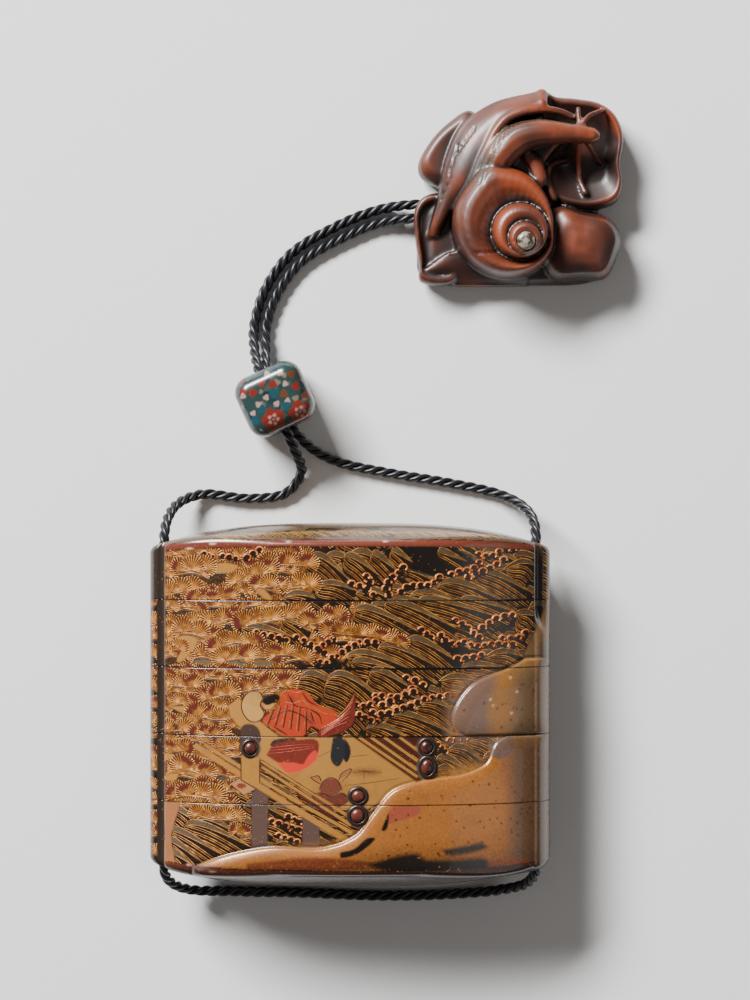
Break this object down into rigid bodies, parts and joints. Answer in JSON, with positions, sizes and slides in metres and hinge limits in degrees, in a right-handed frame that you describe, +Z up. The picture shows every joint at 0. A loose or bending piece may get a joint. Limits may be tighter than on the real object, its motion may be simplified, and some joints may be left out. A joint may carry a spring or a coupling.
{
  "type": "inro case",
  "caption": "Flat lacquered case of stacked boxes and a domed lid, strung on a black silk cord with a rounded square bead and a carved wooden snail toggle.",
  "frame": {"origin": "middle of the narrow flat on the case's back, where it lies on the table", "axes": "+X across the case to the right, +Y from the bottom box to the lid, +Z up out of the decorated front"},
  "size_m": [0.0953, 0.1647, 0.0258],
  "materials": {
    "lacquer": "gloss",
    "bead_glass": "gloss",
    "boxwood": "satin",
    "shell": "satin",
    "silk": "satin"
  },
  "bodies": {
    "root": {"inro_lid": "lacquer", "inro_case_1": "lacquer", "inro_case_2": "lacquer", "inro_case_3": "lacquer", "inro_case_4": "lacquer", "ojime_bead": "bead_glass", "netsuke": "boxwood", "netsuke_shell_inlay": "shell", "cord": "silk"}
  },
  "joints": []
}
